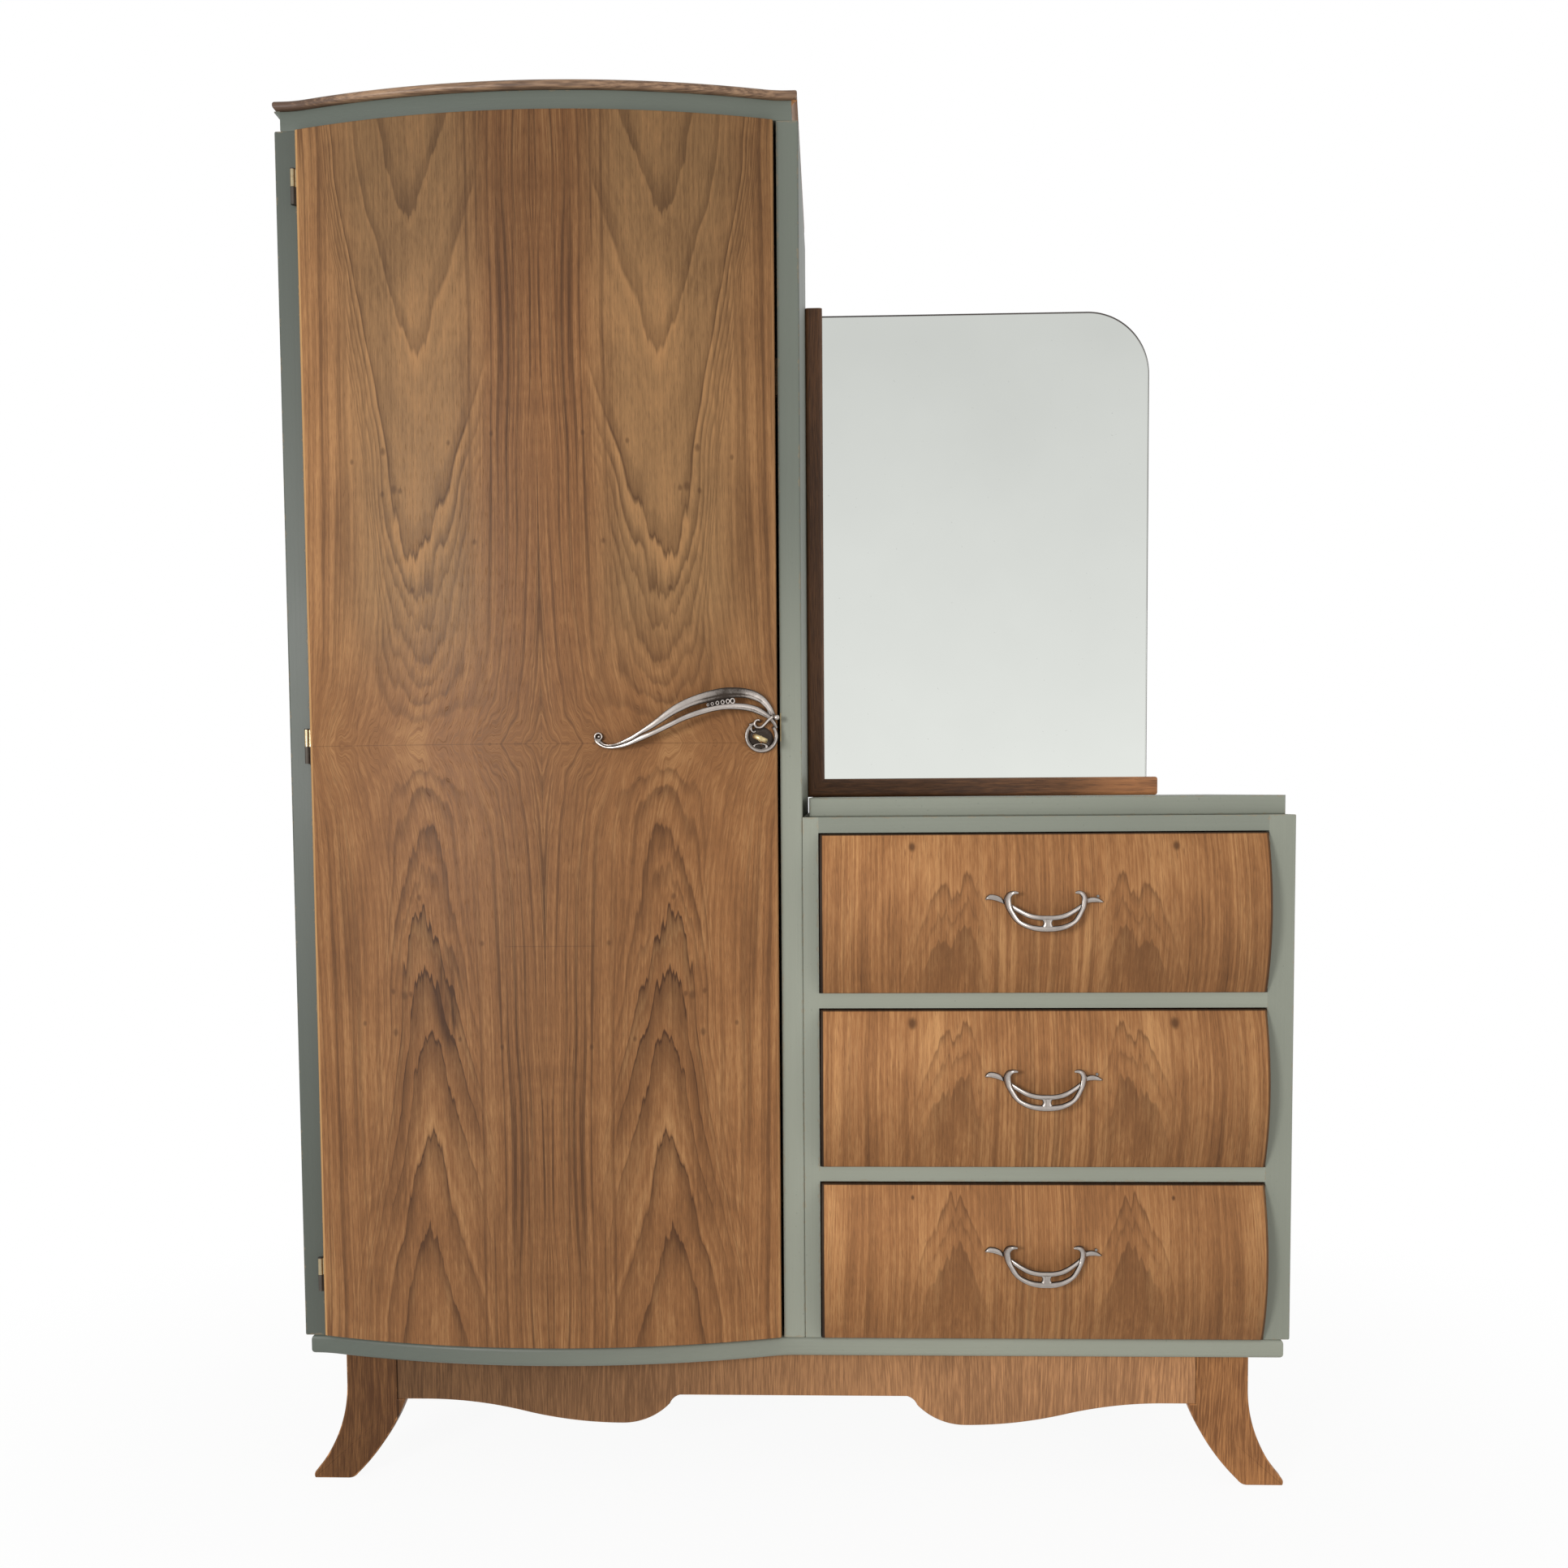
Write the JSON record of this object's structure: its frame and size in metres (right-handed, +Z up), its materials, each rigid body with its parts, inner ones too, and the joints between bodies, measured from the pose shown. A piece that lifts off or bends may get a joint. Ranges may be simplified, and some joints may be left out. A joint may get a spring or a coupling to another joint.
{
  "type": "wardrobe with drawers and mirror",
  "caption": "Tall cupboard with a bowed veneered door and hanging space, joined to a low chest with swelled drawer fronts and a round-cornered mirror, on sabre feet.",
  "frame": {"origin": "on the floor, under the middle of the whole piece as bounded by its handle and its back", "axes": "+Z up, +X towards the chest side on the right as seen from the front, -Y towards the viewer in front of the door"},
  "size_m": [1.25, 0.4944, 1.733],
  "materials": {
    "green_paint": "satin sage green paint, brushed on wood",
    "dark_walnut": "satin varnished walnut",
    "walnut_veneer": "semi-gloss book-matched walnut veneer",
    "plain_wood": "plain waxed softwood and beech",
    "plywood": "raw thin plywood",
    "silvered_glass": "clear mirror",
    "aged_nickel": "worn cast nickel with dark recesses",
    "brass": "polished",
    "steel": "plain"
  },
  "bodies": {
    "carcass": {"base_board": "green_paint", "frieze_board": "green_paint", "tall_side_left": "green_paint", "tall_side_right": "green_paint", "low_side_left": "green_paint", "low_side_right": "green_paint", "counter_board": "green_paint", "chest_rails": "green_paint", "cove_left": "green_paint", "cornice_cap": "dark_walnut", "cove_right": "dark_walnut", "apron": "dark_walnut", "front_foot_left": "dark_walnut", "front_foot_right": "dark_walnut", "mirror_batten_left": "dark_walnut", "mirror_batten_bottom": "dark_walnut", "rear_feet": "plain_wood", "plinth_rails": "plain_wood", "corner_blocks": "plain_wood", "hat_shelf": "plain_wood", "shelf_bearers": "plain_wood", "hanging_rail": "plain_wood", "rail_sockets": "plain_wood", "drawer_runners": "plain_wood", "mirror_backing": "plain_wood", "back_panels": "plywood", "mirror_glass": "silvered_glass", "hinge_frame_leaves": "brass", "strike_plate": "brass", "hinge_frame_screws": "steel", "mirror_screws": "steel"},
    "door": {"door_panel": "walnut_veneer", "door_lippings": "walnut_veneer", "hinge_door_leaves": "brass", "hinge_pins": "brass", "hinge_door_screws": "steel", "lock_case": "steel", "door_handle": "aged_nickel", "door_handle_screws": "steel", "keyhole_plate": "aged_nickel"},
    "bolt": {"lock_bolt": "steel"},
    "key": {"key": "brass"},
    "drawer_1": {"drawer_1_front": "walnut_veneer", "drawer_1_sides": "plain_wood", "drawer_1_back": "plain_wood", "drawer_1_bottom": "plywood", "drawer_1_pull": "aged_nickel", "drawer_1_screws": "steel"},
    "drawer_2": {"drawer_2_front": "walnut_veneer", "drawer_2_sides": "plain_wood", "drawer_2_back": "plain_wood", "drawer_2_bottom": "plywood", "drawer_2_pull": "aged_nickel", "drawer_2_screws": "steel"},
    "drawer_3": {"drawer_3_front": "walnut_veneer", "drawer_3_sides": "plain_wood", "drawer_3_back": "plain_wood", "drawer_3_bottom": "plywood", "drawer_3_pull": "aged_nickel", "drawer_3_screws": "steel"}
  },
  "joints": [
    {"name": "door_swing", "type": "hinge", "parent": "carcass", "child": "door", "pos_m": [-0.601, -0.18884, 0.95], "axis": [0, 0, -1], "range_deg": [0, 110]},
    {"name": "key_turn", "type": "hinge", "parent": "door", "child": "key", "pos_m": [-0.033, -0.17584, 0.953], "axis": [0, 1, 0], "range_deg": [0, 165]},
    {"name": "bolt_throw", "type": "slide", "parent": "door", "child": "bolt", "axis": [1, 0, 0], "range_m": [0, 0.008]},
    {"name": "drawer_1_slide", "type": "slide", "parent": "carcass", "child": "drawer_1", "axis": [0, -1, 0], "range_m": [0, 0.3]},
    {"name": "drawer_2_slide", "type": "slide", "parent": "carcass", "child": "drawer_2", "axis": [0, -1, 0], "range_m": [0, 0.3]},
    {"name": "drawer_3_slide", "type": "slide", "parent": "carcass", "child": "drawer_3", "axis": [0, -1, 0], "range_m": [0, 0.3]}
  ],
  "couplings": [
    {"joint": "key_turn", "follows": "bolt_throw", "rad_per_m": 359.97}
  ]
}
